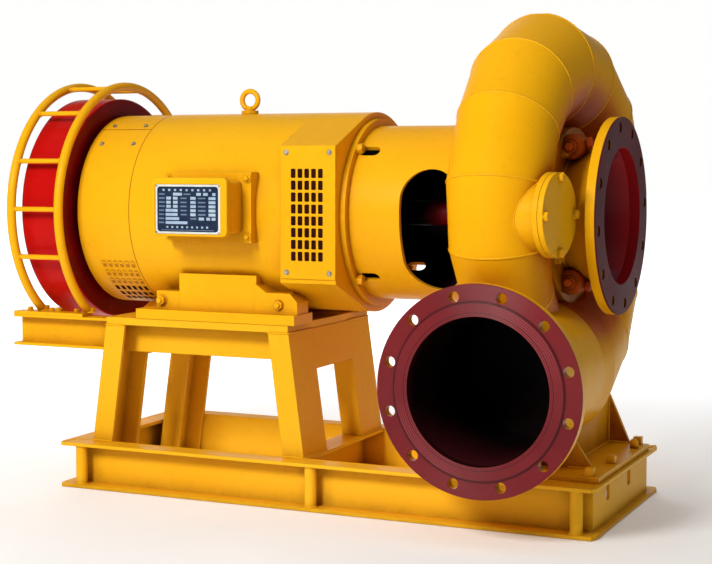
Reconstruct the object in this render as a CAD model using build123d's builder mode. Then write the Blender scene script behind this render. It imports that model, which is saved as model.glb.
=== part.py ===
from build123d import *
import os
from math import sin, cos, radians, pi, sqrt, degrees, atan2

# Horizontal hydroelectric set: spiral-case turbine, lantern, generator and
# flywheel on a welded channel base.  Millimetres, +X along the shaft towards
# the draft flange, +Z up, floor at z = 0, shaft in the plane y = 0.
# The origin is the middle of the base frame, on the floor.

# ---------------------------------------------------------------- dimensions
SHAFT_Z = 677.0          # shaft centre height

# base frame
BASE_H = 110.0           # channel height
WEB_X = 660.0            # outer face of the end webs, half length
WEB_Y = 234.0            # outer face of the side webs, half width
TIP_Y = 282.0            # flange tips, half width
TIP_X = 678.0            # flange tips, half length
CUT_X = 670.0            # where the corner chamfer starts
CUT_Y = 262.0
WEB_T = 6.0
FLG_T = 8.0
END_IN = 616.0           # inner edge of the end beams' flanges
POST_R = 14.0            # round posts between the flanges

# generator stand
ST_TOP = 418.0
ST_CX = -322.0
ST_TH = 248.0            # half length at the top
ST_BH = 290.0            # half length at the bottom
ST_Y = 228.0             # half width, against the inner face of the side webs
TOP_T = 18.0
LEG_W = 126.0            # channel depth, along y
LEG_F = 54.0             # flange, along x

# cantilever under the flywheel guard
ARM_TOP = 414.0
ARM_H = 78.0
ARM_Y = 226.0
ARM_X = -848.0

# generator
GEN_R = 240.0
GEN_X0 = -646.0
COVER_X = -497.0
HOUS_X = -84.0
LANT_X = 58.0
# lantern
LANT_R = 207.0
LANT_T = 12.0
LANT_X1 = 372.0

# turbine
SP_X = 480.0             # plane of the spiral case
SP_IN = 184.5            # inner radius of the spiral case
BORE_END = 86.0          # the open bore of the inlet ends this far from the shaft plane
PIPE_R = 162.5
BORE_R = 154.5
IN_Z = 330.0             # height of the inlet axis
IN_Y = -468.0            # inlet flange face
FL_R = 222.5             # both big flanges
FL_T = 24.0
PCD_R = 200.0
HOLE_R = 11.5
DRAFT_X = 657.0
CASE_R = 200.0

# rotor
SHAFT_R = 30.0
FW_R = 282.0
FW_X0 = -782.0
FW_X1 = -662.0

# guard
HOOP_R = 314.0
HOOP_T = 11.0
HOOP_XA = -788.0
HOOP_XB = -650.0

os.makedirs("parts", exist_ok=True)

XZ = Plane.XZ            # normal is -Y


def at(x, y, z):
    return Location((x, y, z))


def yz(x):
    # plane across the shaft: local x is +Y, local y is +Z, normal +X
    return Plane(origin=(x, 0, SHAFT_Z), x_dir=(0, 1, 0), z_dir=(1, 0, 0))


def xz(y, z=0.0):
    # plane along the shaft: local x is +X, local y is +Z, normal -Y
    return Plane(origin=(0, y, z), x_dir=(1, 0, 0), z_dir=(0, -1, 0))


def save(part, name):
    part.label = name
    export_step(part, f"parts/{name}.step")


# ---------------------------------------------------------------- base frame
with BuildPart() as base_rail_front:
    with BuildSketch(xz(-WEB_Y)) as s:
        with BuildLine():
            Polyline((-WEB_X, FLG_T), (WEB_X, FLG_T), (WEB_X, BASE_H - FLG_T), (-WEB_X, BASE_H - FLG_T), close=True)
        make_face()
    extrude(amount=-WEB_T)
    for z in (0, BASE_H - FLG_T):
        with BuildSketch(Plane.XY.offset(z)):
            with BuildLine():
                Polyline((-WEB_X, -WEB_Y + WEB_T), (WEB_X, -WEB_Y + WEB_T), (WEB_X, -WEB_Y), (CUT_X, -TIP_Y),
                         (-CUT_X, -TIP_Y), (-WEB_X, -WEB_Y), close=True)
            make_face()
        extrude(amount=FLG_T)
save(base_rail_front.part, "base_rail_front")

with BuildPart() as base_rail_back:
    add(mirror(base_rail_front.part, about=Plane.XZ))
save(base_rail_back.part, "base_rail_back")

with BuildPart() as base_end_beam_right:
    with BuildSketch(Plane.XY.offset(FLG_T)):
        with BuildLine():
            Polyline((WEB_X - WEB_T, -WEB_Y + WEB_T), (WEB_X, -WEB_Y + WEB_T), (WEB_X, WEB_Y - WEB_T),
                     (WEB_X - WEB_T, WEB_Y - WEB_T), close=True)
        make_face()
    extrude(amount=BASE_H - 2 * FLG_T)
    for z in (0, BASE_H - FLG_T):
        with BuildSketch(Plane.XY.offset(z)):
            with BuildLine():
                Polyline((END_IN, -WEB_Y + WEB_T), (WEB_X, -WEB_Y + WEB_T), (WEB_X, -WEB_Y), (CUT_X, -TIP_Y),
                         (TIP_X, -CUT_Y), (TIP_X, CUT_Y), (CUT_X, TIP_Y), (WEB_X, WEB_Y), (WEB_X, WEB_Y - WEB_T),
                         (END_IN, WEB_Y - WEB_T), close=True)
            make_face()
        extrude(amount=FLG_T)

with BuildPart() as base_end_beam_left:
    add(mirror(base_end_beam_right.part, about=Plane.YZ))
save(base_end_beam_left.part, "base_end_beam_left")

# two upright slots through the web under the turbine
with base_end_beam_right:
    for y, z, h in ((-115.0, 76.0, 42.0), (65.0, 74.5, 40.0)):
        with BuildSketch(Plane(origin=(WEB_X + 10, 0, 0), x_dir=(0, 1, 0), z_dir=(1, 0, 0))):
            with Locations((y, z)):
                RectangleRounded(26, h, 7)
        extrude(amount=-30, mode=Mode.SUBTRACT)
save(base_end_beam_right.part, "base_end_beam_right")

# cross channel under the stand's right legs, flanges towards the turbine, the lower one wider
CROSS_X0, CROSS_X1, CROSS_X2 = -90.0, -25.0, 12.0
with BuildPart() as base_cross_member:
    with BuildSketch(Plane.XZ.offset(-(WEB_Y - WEB_T))):
        with BuildLine():
            Polyline((CROSS_X0, 0), (CROSS_X2, 0), (CROSS_X2, FLG_T), (CROSS_X0 + WEB_T, FLG_T),
                     (CROSS_X0 + WEB_T, BASE_H - FLG_T), (CROSS_X1, BASE_H - FLG_T), (CROSS_X1, BASE_H),
                     (CROSS_X0, BASE_H), close=True)
        make_face()
    extrude(amount=2 * (WEB_Y - WEB_T))
save(base_cross_member.part, "base_cross_member")

# round posts welded between the rail flanges
with BuildPart() as base_rail_posts:
    for sy in (-1, 1):
        for x in (-622.0, 3.0, 632.0):
            with Locations(at(x, sy * (TIP_Y - POST_R - 4), FLG_T)):
                Cylinder(POST_R, BASE_H - 2 * FLG_T, align=(Align.CENTER, Align.CENTER, Align.MIN))
save(base_rail_posts.part, "base_rail_posts")

# ---------------------------------------------------------------- stand legs
LEG_TOP = ST_TOP - TOP_T


def leg_x(z, side):
    # outer face of the leg web at height z
    t = (z - BASE_H) / (ST_TOP - BASE_H)
    return ST_CX + side * (ST_BH + (ST_TH - ST_BH) * t)


def leg_poly(side, w0, w1):
    # the left legs run down inside the base frame, the right ones stand on the cross channel
    z0 = FLG_T if side < 0 else BASE_H
    b, t = leg_x(z0, side), leg_x(LEG_TOP, side)
    return [(b - side * w0, z0), (b - side * w1, z0), (t - side * w1, LEG_TOP), (t - side * w0, LEG_TOP)]


def leg(name, side, y_sign):
    y0, y1 = ST_Y - LEG_W, ST_Y
    with BuildPart() as g:
        with BuildSketch(xz(-y0 if y_sign < 0 else y1)):
            with BuildLine():
                Polyline(*leg_poly(side, 0, 6), close=True)
            make_face()
        extrude(amount=LEG_W)
        for ya, yb in ((y0, y0 + 8), (y1 - 8, y1)):
            with BuildSketch(xz(-ya if y_sign < 0 else yb)):
                with BuildLine():
                    Polyline(*leg_poly(side, 0, LEG_F), close=True)
                make_face()
            extrude(amount=8)
    save(g.part, name)
    return g


leg_fl = leg("stand_leg_front_left", -1, -1)
leg_fr = leg("stand_leg_front_right", 1, -1)
leg_bl = leg("stand_leg_back_left", -1, 1)
leg_br = leg("stand_leg_back_right", 1, 1)

with BuildPart() as stand_top_plate:
    with BuildSketch(Plane.XY.offset(LEG_TOP)):
        with Locations((ST_CX, 0)):
            Rectangle(2 * ST_TH + 2, 2 * ST_Y)
    extrude(amount=TOP_T)
save(stand_top_plate.part, "stand_top_plate")

SB_Z0 = 328.0            # lower edge of the stand's long beams
with BuildPart() as stand_long_beams:
    for y in (-157.0, 165.0):
        with BuildSketch(xz(y)):
            with BuildLine():
                Polyline((leg_x(SB_Z0, -1) + 6.5, SB_Z0), (leg_x(SB_Z0, 1) - 6.5, SB_Z0), (leg_x(LEG_TOP, 1) - 6.5, LEG_TOP),
                         (leg_x(LEG_TOP, -1) + 6.5, LEG_TOP), close=True)
            make_face()
        extrude(amount=8)
save(stand_long_beams.part, "stand_long_beams")

SW_Z0 = 304.0            # lower edge of the stand's side beams
YI = ST_Y - LEG_W


with BuildPart() as stand_side_beams:
    for side in (-1, 1):
        b, t = leg_x(SW_Z0, side), leg_x(LEG_TOP, side)
        with BuildSketch(xz(YI)):
            with BuildLine():
                Polyline((b, SW_Z0), (b - side * 8, SW_Z0), (t - side * 8, LEG_TOP), (t, LEG_TOP), close=True)
            make_face()
        extrude(amount=2 * YI)
save(stand_side_beams.part, "stand_side_beams")

# ---------------------------------------------------------------- guard support
Z_LO, Z_HI = ARM_TOP - ARM_H, ARM_TOP
with BuildPart() as guard_support_frame:
    # two channel arms, flanges outwards, and the channel across their ends
    for sy in (-1, 1):
        ya = -188.0 if sy < 0 else 228.0
        with BuildSketch(xz(ya)):
            with BuildLine():
                Polyline((ARM_X, Z_LO), (leg_x(Z_LO, -1), Z_LO), (leg_x(Z_HI - 14, -1), Z_HI - 14), (ST_CX - ST_TH - 1, Z_HI - 14),
                         (ST_CX - ST_TH - 1, Z_HI), (ARM_X, Z_HI), close=True)
            make_face()
        extrude(amount=40)
        with BuildSketch(xz(-194.0 if sy < 0 else 238.0)):
            with Locations(((ARM_X - 500) / 2, (Z_LO + Z_HI) / 2)):
                Rectangle(-500 - ARM_X, ARM_H - 14)
        extrude(amount=44, mode=Mode.SUBTRACT)
    with BuildSketch(xz(188.0)):
        with BuildLine():
            Polyline((ARM_X, Z_LO), (ARM_X + 40, Z_LO), (ARM_X + 40, Z_HI), (ARM_X, Z_HI), (ARM_X, Z_HI - 7),
                     (ARM_X + 34, Z_HI - 7), (ARM_X + 34, Z_LO + 7), (ARM_X, Z_LO + 7), close=True)
        make_face()
    extrude(amount=376)
save(guard_support_frame.part, "guard_support_frame")

with BuildPart() as guard_mount_plates:
    for sy in (-1, 1):
        with Locations(at(-745.0, sy * 208.0, ARM_TOP)):
            Box(206, 40, 8, align=(Align.CENTER, Align.CENTER, Align.MIN))
save(guard_mount_plates.part, "guard_mount_plates")

# ---------------------------------------------------------------- guard hoops
PLATE_TOP = ARM_TOP + 8
FOOT_A = degrees(atan2(PLATE_TOP + 1 - SHAFT_Z, sqrt(HOOP_R ** 2 - (PLATE_TOP + 1 - SHAFT_Z) ** 2)))   # below the axis


def hoop(name, x):
    with BuildPart() as g:
        with BuildLine(yz(x)) as path:
            CenterArc((0, 0), HOOP_R, FOOT_A, 180 - 2 * FOOT_A)
        with BuildSketch(Plane(origin=path.line @ 0, z_dir=path.line % 0)):
            Circle(HOOP_T)
        sweep()
        # feet: short round stubs down to the plate
        for sy in (-1, 1):
            with Locations(at(x, sy * HOOP_R * cos(radians(FOOT_A)), PLATE_TOP)):
                Cylinder(15, 12, align=(Align.CENTER, Align.CENTER, Align.MIN))
        with BuildSketch(Plane.XY.offset(PLATE_TOP - 60)):
            with Locations((x, 0)):
                Rectangle(80, 800)
        extrude(amount=60, mode=Mode.SUBTRACT)
    save(g.part, name)
    return g


hoop_a = hoop("guard_hoop_outer", HOOP_XA)
hoop_b = hoop("guard_hoop_inner", HOOP_XB)

ROD_ANG = (-21, 1, 23, 50, 77, 103, 130, 157, 179, 201)
ROD_R = 6.0
with BuildPart() as guard_rods:
    for a in ROD_ANG:
        yy, zz = -HOOP_R * cos(radians(a)), HOOP_R * sin(radians(a))
        with Locations(Location((HOOP_XA + HOOP_T - 1.5, yy, SHAFT_Z + zz), (0, 90, 0))):
            Cylinder(ROD_R, HOOP_XB - HOOP_XA - 2 * HOOP_T + 3, align=(Align.CENTER, Align.CENTER, Align.MIN))
    add(hoop_a.part, mode=Mode.SUBTRACT)
    add(hoop_b.part, mode=Mode.SUBTRACT)
save(guard_rods.part, "guard_rods")

# ---------------------------------------------------------------- rotor
with BuildPart() as flywheel:
    with BuildSketch(Plane(origin=(0, 0, SHAFT_Z), x_dir=(1, 0, 0), z_dir=(0, -1, 0))):
        with BuildLine():
            xm = (FW_X0 + FW_X1) / 2
            Polyline((FW_X0 - 4, SHAFT_R), (FW_X0 - 4, 70), (xm - 24, 78), (xm - 24, 196), (FW_X0, 206), (FW_X0, FW_R - 3),
                     (FW_X0 + 3, FW_R), (FW_X1 - 3, FW_R), (FW_X1, FW_R - 3), (FW_X1, 206), (xm + 24, 196), (xm + 24, 78),
                     (FW_X1, 70), (FW_X1, SHAFT_R), close=True)
        make_face()
    revolve(axis=Axis((0, 0, SHAFT_Z), (1, 0, 0)))
save(flywheel.part, "flywheel")

HUB_X0, HUB_X1 = 300.0, 352.0
with BuildPart() as shaft:
    with BuildSketch(yz(FW_X0 - 14)):
        Circle(SHAFT_R)
    extrude(amount=SP_X - 60 - FW_X0 + 14)
save(shaft.part, "shaft")

with BuildPart() as shaft_hub:
    with BuildSketch(yz(HUB_X0)):
        Circle(38)
        Circle(SHAFT_R, mode=Mode.SUBTRACT)
    extrude(amount=HUB_X1 - HUB_X0)
    with BuildSketch(yz(HUB_X0 + 30)):
        Circle(48)
        Circle(SHAFT_R, mode=Mode.SUBTRACT)
    extrude(amount=14)
save(shaft_hub.part, "shaft_hub")

# ---------------------------------------------------------------- generator
FIT = 0.05
with BuildPart() as generator_end_cover:
    with BuildSketch(yz(GEN_X0)):
        Circle(GEN_R - 1.5)
        Circle(SHAFT_R + FIT, mode=Mode.SUBTRACT)
    extrude(amount=COVER_X - GEN_X0)
    with BuildSketch(yz(GEN_X0)):
        Circle(GEN_R - 16)
        Circle(64, mode=Mode.SUBTRACT)
    extrude(amount=22, mode=Mode.SUBTRACT)
save(generator_end_cover.part, "generator_end_cover")

with BuildPart() as generator_body:
    with BuildSketch(yz(COVER_X)):
        Circle(GEN_R)
        Circle(SHAFT_R + FIT, mode=Mode.SUBTRACT)
    extrude(amount=HOUS_X - COVER_X)
save(generator_body.part, "generator_body")

# drive-end housing: round, with a flat pad on each side for the louvred plate and
# slanted shoulders from the pad's corners back to the round body
PAD_Y = 243.0
PAD_Z = 158.0
with BuildPart() as generator_end_housing:
    with BuildSketch(yz(HOUS_X)):
        Circle(GEN_R)
        with BuildLine():
            Polyline((PAD_Y, -PAD_Z), (PAD_Y, PAD_Z), (100, 217.8), (-100, 217.8), (-PAD_Y, PAD_Z), (-PAD_Y, -PAD_Z),
                     (-100, -217.8), (100, -217.8), close=True)
        make_face()
        Circle(SHAFT_R + FIT, mode=Mode.SUBTRACT)
    extrude(amount=LANT_X - HOUS_X)
save(generator_end_housing.part, "generator_end_housing")

PL_T = 3.0
with BuildPart() as vent_plates:
    for sy in (-1, 1):
        with Locations(at(-12.0, sy * (PAD_Y + PL_T / 2), 683.0)):
            Box(140, PL_T, 306)
save(vent_plates.part, "vent_plates")

# lantern joining the generator to the turbine: open window on each side and
# four wrench slots behind the flange bolts
WIN_X0, WIN_X1 = 198.0, 336.0      # near window
WINF_X0 = 235.0                    # far window starts here
LFL_R = 225.0                      # flange of the lantern
with BuildPart() as lantern:
    with BuildSketch(yz(LANT_X)):
        Circle(LANT_R)
    extrude(amount=LANT_X1 - LANT_X)
    with BuildSketch(yz(LANT_X)):
        Circle(LFL_R)
    extrude(amount=14)
    with BuildSketch(yz(LANT_X)):
        Circle(LANT_R - LANT_T)
    extrude(amount=LANT_X1 - LANT_X, mode=Mode.SUBTRACT)
    # window outlines are drawn on the side plane and cut through one wall each
    for y0, x0, rc in ((0.0, WIN_X0, 68), (300.0, WINF_X0, 50)):
        with BuildSketch(xz(y0)):
            with Locations(((x0 + WIN_X1) / 2, 644.5)):
                RectangleRounded(WIN_X1 - x0, 275, rc)
        extrude(amount=300, mode=Mode.SUBTRACT)
    for a in (45, 135, 225, 315):
        pl = Plane(origin=(0, 0, SHAFT_Z), x_dir=(1, 0, 0), z_dir=(0, cos(radians(a)), sin(radians(a))))
        with BuildSketch(pl):
            with Locations((100.0, 0)):
                SlotOverall(50, 28)
        extrude(amount=300, mode=Mode.SUBTRACT)
save(lantern.part, "lantern")

# terminal box on the near side
TB_X0, TB_X1, TB_Z0, TB_Z1 = -366.0, -170.0, 629.0, 757.0
with BuildPart() as terminal_box_base:
    with Locations(at(-266.0, -(GEN_R + 4), 692.0)):
        Box(232, 36, 164)
    with BuildSketch(yz(-400)):
        Circle(GEN_R)
    extrude(amount=300, mode=Mode.SUBTRACT)
save(terminal_box_base.part, "terminal_box_base")
with BuildPart() as terminal_box:
    with Locations(at((TB_X0 + TB_X1) / 2, -262.0, (TB_Z0 + TB_Z1) / 2)):
        Box(TB_X1 - TB_X0 - 8, 64, TB_Z1 - TB_Z0 - 8, align=(Align.CENTER, Align.MAX, Align.CENTER))
    fillet(edges().filter_by(Axis.Y), 8)
save(terminal_box.part, "terminal_box")
with BuildPart() as terminal_box_cover:
    with Locations(at((TB_X0 + TB_X1) / 2, -326.0, (TB_Z0 + TB_Z1) / 2)):
        Box(TB_X1 - TB_X0, 14, TB_Z1 - TB_Z0, align=(Align.CENTER, Align.MAX, Align.CENTER))
    fillet(edges().filter_by(Axis.Y), 10)
    fillet(faces().sort_by(Axis.Y)[0].edges(), 3)
save(terminal_box_cover.part, "terminal_box_cover")
with BuildPart() as nameplate:
    with Locations(at(-273.0, -340.0, 689.5)):
        Box(172, 1.5, 114, align=(Align.CENTER, Align.MAX, Align.CENTER))
save(nameplate.part, "nameplate")

with BuildPart() as lifting_eye:
    with Locations(at(-292.0, 0, SHAFT_Z + GEN_R - 1.0)):
        Cylinder(21, 9, align=(Align.CENTER, Align.CENTER, Align.MIN))
        Cylinder(11, 18, align=(Align.CENTER, Align.CENTER, Align.MIN))
    with BuildLine(Plane(origin=(-292.0, 0, 951.0), x_dir=(1, 0, 0), z_dir=(0, -1, 0))) as ring:
        CenterArc((0, 0), 22.0, 0, 360)
    with BuildSketch(Plane(origin=ring.line @ 0, z_dir=ring.line % 0)):
        Circle(6.5)
    sweep()
    with BuildSketch(yz(-340)):
        Circle(GEN_R)
    extrude(amount=100, mode=Mode.SUBTRACT)
save(lifting_eye.part, "lifting_eye")


# feet: a long foot pad and a cast bracket up to the body, front and back
def gen_foot(name, sy):
    with BuildPart() as g:
        with Locations(at(-270.0, sy * 182.0, ST_TOP)):
            Box(430, 96, 24, align=(Align.CENTER, Align.CENTER, Align.MIN))
        with Locations(at(-271.0, sy * 163.0, ST_TOP + 20)):
            Box(210, 88, 92, align=(Align.CENTER, Align.CENTER, Align.MIN))
        with Locations(at(-408.0, sy * 163.0, ST_TOP + 20)):
            Box(66, 84, 48, align=(Align.CENTER, Align.CENTER, Align.MIN))
        with BuildSketch(xz(-150.0 if sy < 0 else 208.0)):
            with BuildLine():
                Polyline((-170, ST_TOP + 20), (-58, ST_TOP + 20), (-58, 470), (-78, 491), (-140, 491), (-170, 512), close=True)
            make_face()
            with Locations((-106, 464)):
                Circle(11, mode=Mode.SUBTRACT)
        extrude(amount=58)
        with BuildSketch(yz(-520)):
            Circle(GEN_R)
        extrude(amount=HOUS_X + 520, mode=Mode.SUBTRACT)
        add(generator_end_housing.part, mode=Mode.SUBTRACT)
    save(g.part, name)
    return g


foot_f = gen_foot("generator_foot_front", -1)
foot_b = gen_foot("generator_foot_back", 1)

# ---------------------------------------------------------------- turbine
# spiral case: mitred cones, a seam about every 25 degrees.  Angle 0 is the near
# side, 90 the top, 180 the far side, 270 the bottom, where the inlet pipe joins.
# Each seam: angle, x of its centre, distance from the shaft axis, tube radius.
SEAMS = [(-62, 464, 276, 92), (-37, 464, 283, 99), (-11.5, 463, 289, 108), (13.5, 465, 301, 113), (40, 464, 307, 112),
         (63, 463, 319, 117), (88, 464, 329, 127), (113, 466, 334, 132), (138, 469, 333, 140.5), (163, 471, 334, 142),
         (188, 472, 334.5, 142), (213, 474, 335.5, 143), (238, 477, 340, 147.5), (270, SP_X, SHAFT_Z - IN_Z, PIPE_R)]
GROW = 1.0 / cos(radians(12.5))   # a mitre cut is longer than it is wide


def seam_disc(a, xs, rc, r):
    # outward radial direction in (y, z): (-c, s)
    c, s = cos(radians(a)), sin(radians(a))
    pl = Plane(origin=(xs, -rc * c, SHAFT_Z + rc * s), x_dir=(0, -c, s), z_dir=(0, -s, -c))
    return pl, r * (1.0 if a == 270 else GROW), r


with BuildPart() as case_core:
    with BuildSketch(yz(SP_X - 150)):
        Circle(CASE_R)
    extrude(amount=300)


def spiral(name, seams, inlet=False, tip=False):
    with BuildPart() as g:
        for pair in zip(seams[:-1], seams[1:]):
            for seam in pair:
                pl, rx, ry = seam_disc(*seam)
                with BuildSketch(pl):
                    Ellipse(rx, ry)
            loft(ruled=True)
        if inlet:
            with BuildSketch(Plane(origin=(SP_X, 0, IN_Z), x_dir=(1, 0, 0), z_dir=(0, -1, 0))):
                Circle(PIPE_R)
            extrude(amount=BORE_END)
        add(case_core.part, mode=Mode.SUBTRACT)
        if tip:
            with BuildSketch(Plane(origin=(SP_X, 120, IN_Z), x_dir=(1, 0, 0), z_dir=(0, -1, 0))):
                Circle(PIPE_R)
            extrude(amount=600, mode=Mode.SUBTRACT)
    save(g.part, name)
    return g


sp_near = spiral("spiral_case_near", SEAMS[0:5], tip=True)
sp_top = spiral("spiral_case_top", SEAMS[4:9])
sp_far = spiral("spiral_case_far", SEAMS[8:12])
sp_low = spiral("spiral_case_lower", SEAMS[11:14], inlet=True)

with BuildPart() as inlet_pipe:
    with BuildSketch(Plane(origin=(SP_X, -BORE_END, IN_Z), x_dir=(1, 0, 0), z_dir=(0, -1, 0))):
        Circle(PIPE_R)
        Circle(BORE_R, mode=Mode.SUBTRACT)
    extrude(amount=-IN_Y - BORE_END - FL_T)
save(inlet_pipe.part, "inlet_pipe")

with BuildPart() as inlet_flange:
    with BuildSketch(Plane(origin=(SP_X, IN_Y + FL_T, IN_Z), x_dir=(1, 0, 0), z_dir=(0, -1, 0))):
        Circle(FL_R)
        Circle(BORE_R, mode=Mode.SUBTRACT)
        with PolarLocations(PCD_R, 12, start_angle=15):
            Circle(HOLE_R, mode=Mode.SUBTRACT)
    extrude(amount=FL_T - 2)
    with BuildSketch(Plane(origin=(SP_X, IN_Y + 2, IN_Z), x_dir=(1, 0, 0), z_dir=(0, -1, 0))):
        Circle(186)
        Circle(BORE_R, mode=Mode.SUBTRACT)
    extrude(amount=2)
save(inlet_flange.part, "inlet_flange")

# turbine casing drum inside the spiral, head cover towards the lantern, and the
# draft cover set back behind the tube, where the draft cone starts
COV_X = 533.0
CONE_X0 = 545.0
THROAT_R = 118.0
with BuildPart() as turbine_casing:
    with BuildSketch(yz(SP_X - 84)):
        Circle(CASE_R)
        Circle(158, mode=Mode.SUBTRACT)
    extrude(amount=COV_X - SP_X + 84)
save(turbine_casing.part, "turbine_casing")
with BuildPart() as head_cover:
    with BuildSketch(yz(LANT_X1)):
        Circle(CASE_R)
        Circle(SHAFT_R + FIT, mode=Mode.SUBTRACT)
    extrude(amount=SP_X - 84 - LANT_X1)
save(head_cover.part, "head_cover")
with BuildPart() as draft_cover:
    with BuildSketch(yz(COV_X)):
        Circle(CASE_R)
        Circle(THROAT_R, mode=Mode.SUBTRACT)
    extrude(amount=CONE_X0 - COV_X)
save(draft_cover.part, "draft_cover")

with BuildPart() as draft_cone:
    with BuildSketch(yz(CONE_X0)):
        Circle(THROAT_R + 12)
    with BuildSketch(yz(DRAFT_X - FL_T)):
        Circle(170)
    loft(ruled=True)
    with BuildSketch(yz(CONE_X0)):
        Circle(THROAT_R)
    with BuildSketch(yz(DRAFT_X - FL_T)):
        Circle(BORE_R)
    loft(ruled=True, mode=Mode.SUBTRACT)
save(draft_cone.part, "draft_cone")

with BuildPart() as draft_flange:
    with BuildSketch(yz(DRAFT_X - FL_T)):
        Circle(FL_R)
        Circle(BORE_R, mode=Mode.SUBTRACT)
        with PolarLocations(PCD_R, 12, start_angle=7.5):
            Circle(HOLE_R, mode=Mode.SUBTRACT)
    extrude(amount=FL_T)
save(draft_flange.part, "draft_flange")

# runner on the shaft end, seen through the draft flange
RUN_N = 11
with BuildPart() as runner:
    with BuildSketch(Plane(origin=(0, 0, SHAFT_Z), x_dir=(1, 0, 0), z_dir=(0, -1, 0))):
        with BuildLine():
            Polyline((SP_X - 60, 0), (SP_X - 60, 135), (SP_X - 48, 135), (SP_X - 40, 80), (SP_X, 46), (SP_X + 40, 30),
                     (SP_X + 60, 12), (SP_X + 60, 0), close=True)
        make_face()
    revolve(axis=Axis((0, 0, SHAFT_Z), (1, 0, 0)))
    with BuildSketch(yz(SP_X - 4)):
        Circle(135)
        Circle(127, mode=Mode.SUBTRACT)
    extrude(amount=40)
    for i in range(RUN_N):
        a = 360.0 / RUN_N * i
        pl = Plane(origin=(SP_X - 52, 0, SHAFT_Z), x_dir=(0, cos(radians(a)), sin(radians(a))), z_dir=(1, 0, 0))
        pl2 = Plane(origin=(SP_X + 34, 0, SHAFT_Z), x_dir=(0, cos(radians(a + 24)), sin(radians(a + 24))), z_dir=(1, 0, 0))
        with BuildSketch(pl):
            with Locations((72, 0)):
                Rectangle(118, 5)
        with BuildSketch(pl2):
            with Locations((72, 0)):
                Rectangle(118, 5)
        loft(ruled=True)
save(runner.part, "runner")

# hand hole: stub on the near side of the spiral, blank cover with four bolts
HH_A = -6.0
HH_Z = 688.0
nx, ny = cos(radians(HH_A)), sin(radians(HH_A))
HH_O = (485.2, -296.5, HH_Z)


def hh(t):
    return Plane(origin=(HH_O[0] + nx * t, HH_O[1] + ny * t, HH_Z), x_dir=(-ny, nx, 0), z_dir=(nx, ny, 0))


with BuildPart() as handhole_stub:
    with BuildSketch(hh(20)):
        Circle(78)
    extrude(amount=78)
    with BuildSketch(hh(95.5)):
        Circle(90.5)
    extrude(amount=12)
    add(sp_near.part, mode=Mode.SUBTRACT)
save(handhole_stub.part, "handhole_stub")
with BuildPart() as handhole_cover:
    with BuildSketch(hh(108)):
        Circle(90)
    extrude(amount=12)
save(handhole_cover.part, "handhole_cover")

# ---------------------------------------------------------------- turbine support
SUP_Z = BASE_H + 14
with BuildPart() as turbine_base_plate:
    with Locations(at(543.5, 0, BASE_H)):
        Box(249, 440, 14, align=(Align.CENTER, Align.CENTER, Align.MIN))
save(turbine_base_plate.part, "turbine_base_plate")


with BuildPart() as pipe_clear:
    with BuildSketch(Plane(origin=(SP_X, -BORE_END + 6, IN_Z), x_dir=(1, 0, 0), z_dir=(0, -1, 0))):
        Circle(PIPE_R)
    extrude(amount=300)

# plates across the shaft: the right one carries the ribs, the left one stands alone
XP0, XP1 = 560.0, 572.0
with BuildPart() as turbine_support_side_plates:
    for x, pts in ((XP0, [(-137, SUP_Z), (222, SUP_Z), (222, 300), (-137, 300)]),
                   (440.0, [(-206, SUP_Z), (204, SUP_Z), (150, 250), (-160, 250)])):
        with BuildSketch(Plane(origin=(x, 0, 0), x_dir=(0, 1, 0), z_dir=(1, 0, 0))):
            with BuildLine():
                Polyline(*pts, close=True)
            make_face()
        extrude(amount=12)
    add(sp_low.part, mode=Mode.SUBTRACT)
    add(pipe_clear.part, mode=Mode.SUBTRACT)
save(turbine_support_side_plates.part, "turbine_support_side_plates")

with BuildPart() as turbine_support_cross_plates:
    for y, zt in ((-125.0, 280), (222.0, 300)):
        with BuildSketch(xz(y)):
            with BuildLine():
                Polyline((452, SUP_Z), (XP0, SUP_Z), (XP0, zt), (452, zt), close=True)
            make_face()
        extrude(amount=12)
    add(sp_low.part, mode=Mode.SUBTRACT)
    add(pipe_clear.part, mode=Mode.SUBTRACT)
save(turbine_support_cross_plates.part, "turbine_support_cross_plates")

# two ribs with slanted edges on the draft side of the right plate
with BuildPart() as turbine_support_ribs:
    for y, pts in ((-125.0, [(XP1, SUP_Z), (631, SUP_Z), (589, 186), (XP1, 194)]),
                   (222.0, [(XP1, SUP_Z), (623, SUP_Z), (597, 185), (574, 237), (XP1, 237)])):
        with BuildSketch(xz(y)):
            with BuildLine():
                Polyline(*pts, close=True)
            make_face()
        extrude(amount=12)
save(turbine_support_ribs.part, "turbine_support_ribs")
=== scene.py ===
import math
import random
import bpy
from mathutils import Matrix, Vector


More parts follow.
